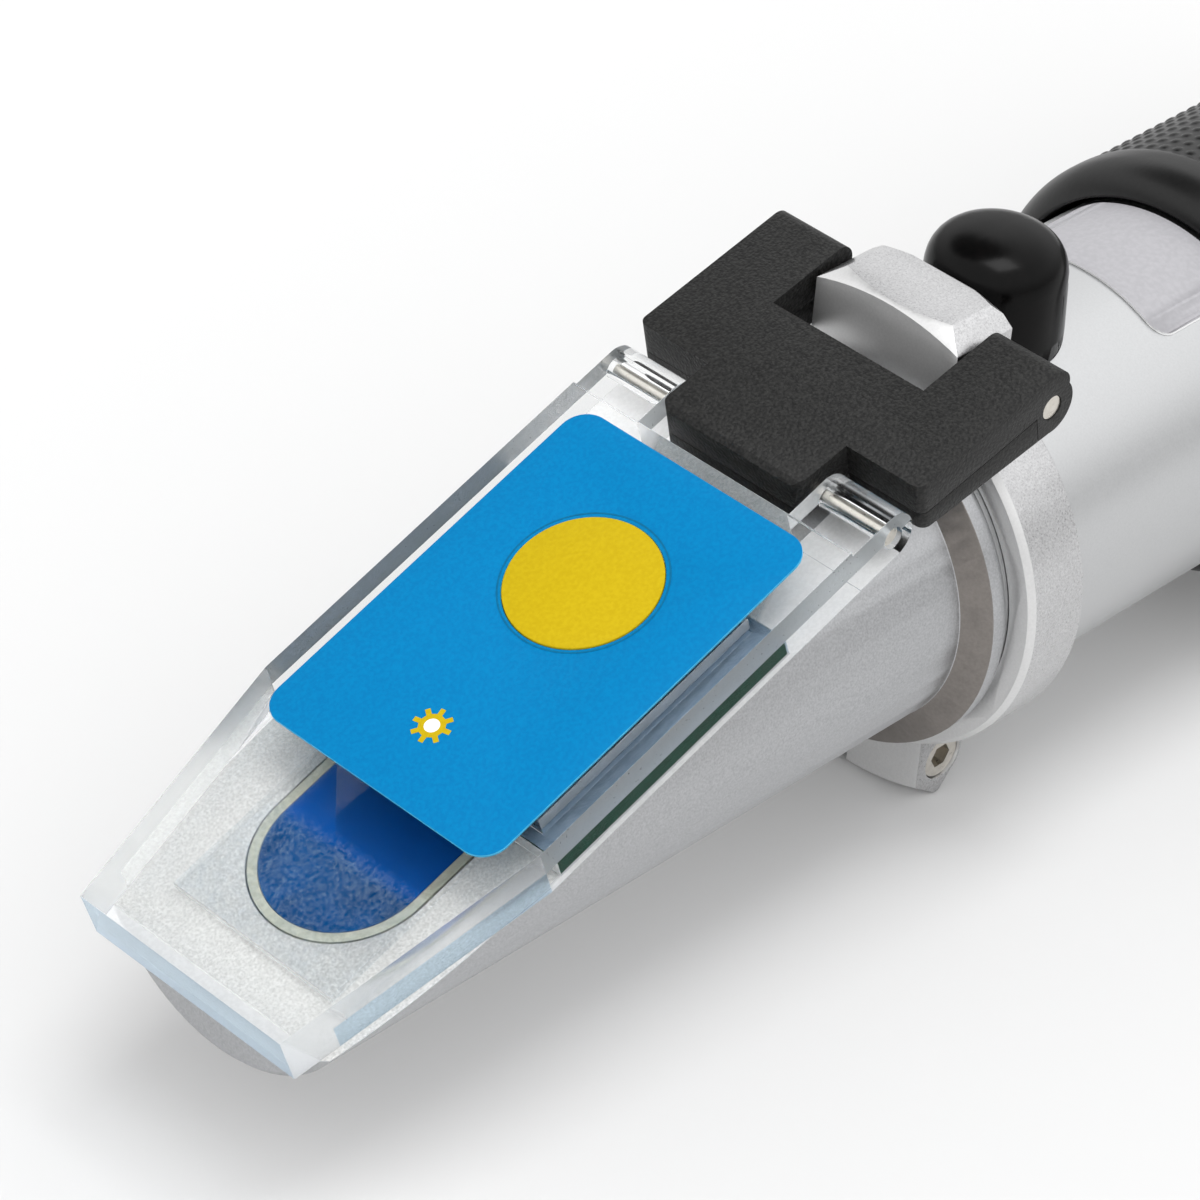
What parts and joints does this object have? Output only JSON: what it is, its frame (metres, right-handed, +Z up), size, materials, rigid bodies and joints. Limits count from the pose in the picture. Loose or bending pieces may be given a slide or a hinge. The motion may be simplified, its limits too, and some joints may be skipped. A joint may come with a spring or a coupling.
{
  "type": "handheld refractometer",
  "caption": "Handheld refractometer with an aluminium prism housing and tube, a hinged clear daylight plate with a lamp button, a rubber grip and a focusing eyepiece.",
  "frame": {"origin": "middle of the overall length and width, on the bench the closed instrument lies on", "axes": "+X along the tube from the prism to the eyecup, +Z up through the hinge and the calibration cap"},
  "size_m": [0.1732, 0.0408, 0.0422],
  "materials": {
    "housing_aluminium": "fine bead blasted and clear anodised",
    "tube_aluminium": "satin clear anodised",
    "ring_aluminium": "coarse bead blasted, bright turned bevels",
    "pin_steel": "drawn pin",
    "screw_steel": "machined screw",
    "bushing_metal": "plated",
    "prism_glass": "polished, dark blue to the eye",
    "seal_compound": "cast sealing compound",
    "bracket_plastic": "fine moulded texture",
    "clear_acrylic": "polished clear",
    "frosted_acrylic": "frosted clear",
    "board": "solder resist",
    "lamp_body": "moulded lamp",
    "cell_steel": "pressed can",
    "membrane_blue": "fine pebbled film",
    "button_yellow": "fine pebbled film",
    "cap_rubber": "semi gloss",
    "label_film": "pale metallic film",
    "grip_rubber": "pebbled",
    "eyecup_rubber": "matt",
    "black_metal": "black anodised",
    "lens_glass": "coated",
    "strip_bimetal": "rolled strip",
    "focus_plastic": "grooved"
  },
  "bodies": {
    "instrument": {"prism_housing": "housing_aluminium", "main_prism": "prism_glass", "prism_seal": "seal_compound", "body_tube": "tube_aluminium", "clamp_ring": "ring_aluminium", "clamp_screw": "screw_steel", "rear_hinge_pin": "pin_steel", "calibration_bushing": "bushing_metal", "tube_label": "label_film", "rubber_grip": "grip_rubber", "lens_carrier": "black_metal", "objective_lens": "lens_glass", "objective_retainer": "black_metal", "bimetal_strip": "strip_bimetal", "reticle_holder": "black_metal", "reticle_disc": "lens_glass", "rear_collar": "tube_aluminium"},
    "bracket": {"hinge_bracket": "bracket_plastic", "bracket_leaf": "bracket_plastic", "front_hinge_pin": "pin_steel"},
    "plate": {"daylight_plate": "clear_acrylic", "contact_pad": "frosted_acrylic", "circuit_board": "board", "lamp": "lamp_body", "coin_cell": "cell_steel", "switch_dome": "cell_steel", "membrane_label": "membrane_blue"},
    "button": {"push_button": "button_yellow"},
    "cal_screw": {"calibration_screw": "screw_steel"},
    "cap": {"calibration_cap": "cap_rubber"},
    "focus": {"focus_ring": "focus_plastic", "eyecup": "eyecup_rubber"},
    "eyepiece": {"lens_barrel": "black_metal", "guide_key": "pin_steel", "eye_lens": "lens_glass", "eye_lens_retainer": "black_metal"}
  },
  "joints": [
    {"name": "bracket_hinge", "type": "hinge", "parent": "instrument", "child": "bracket", "pos_m": [-0.01899, 0, 0.03785], "axis": [0, 1, 0], "range_deg": [0, 105]},
    {"name": "plate_tilt", "type": "hinge", "parent": "bracket", "child": "plate", "pos_m": [-0.03464, 0, 0.03411], "axis": [0, 1, 0], "range_deg": [0, 25]},
    {"name": "button_press", "type": "slide", "parent": "plate", "child": "button", "axis": [0.3533, 0, -0.9355], "range_m": [0, 0.00025], "stiffness_N_per_m": 2000},
    {"name": "cap_pull", "type": "slide", "parent": "instrument", "child": "cap", "axis": [0, 0, 1], "range_m": [0, 0.012]},
    {"name": "calibration_turn", "type": "hinge", "parent": "instrument", "child": "cal_screw", "pos_m": [-0.00989, 0, 0.0344], "axis": [0, 0, 1], "range_deg": [-180, 180]},
    {"name": "focus_turn", "type": "hinge", "parent": "instrument", "child": "focus", "pos_m": [0.06911, 0, 0.0204], "axis": [1, 0, 0], "range_deg": [0, 270]},
    {"name": "eyepiece_slide", "type": "slide", "parent": "instrument", "child": "eyepiece", "axis": [1, 0, 0], "range_m": [0, 0.0024]}
  ],
  "couplings": [
    {"joint": "focus_turn", "follows": "eyepiece_slide", "rad_per_m": 1963.3}
  ]
}
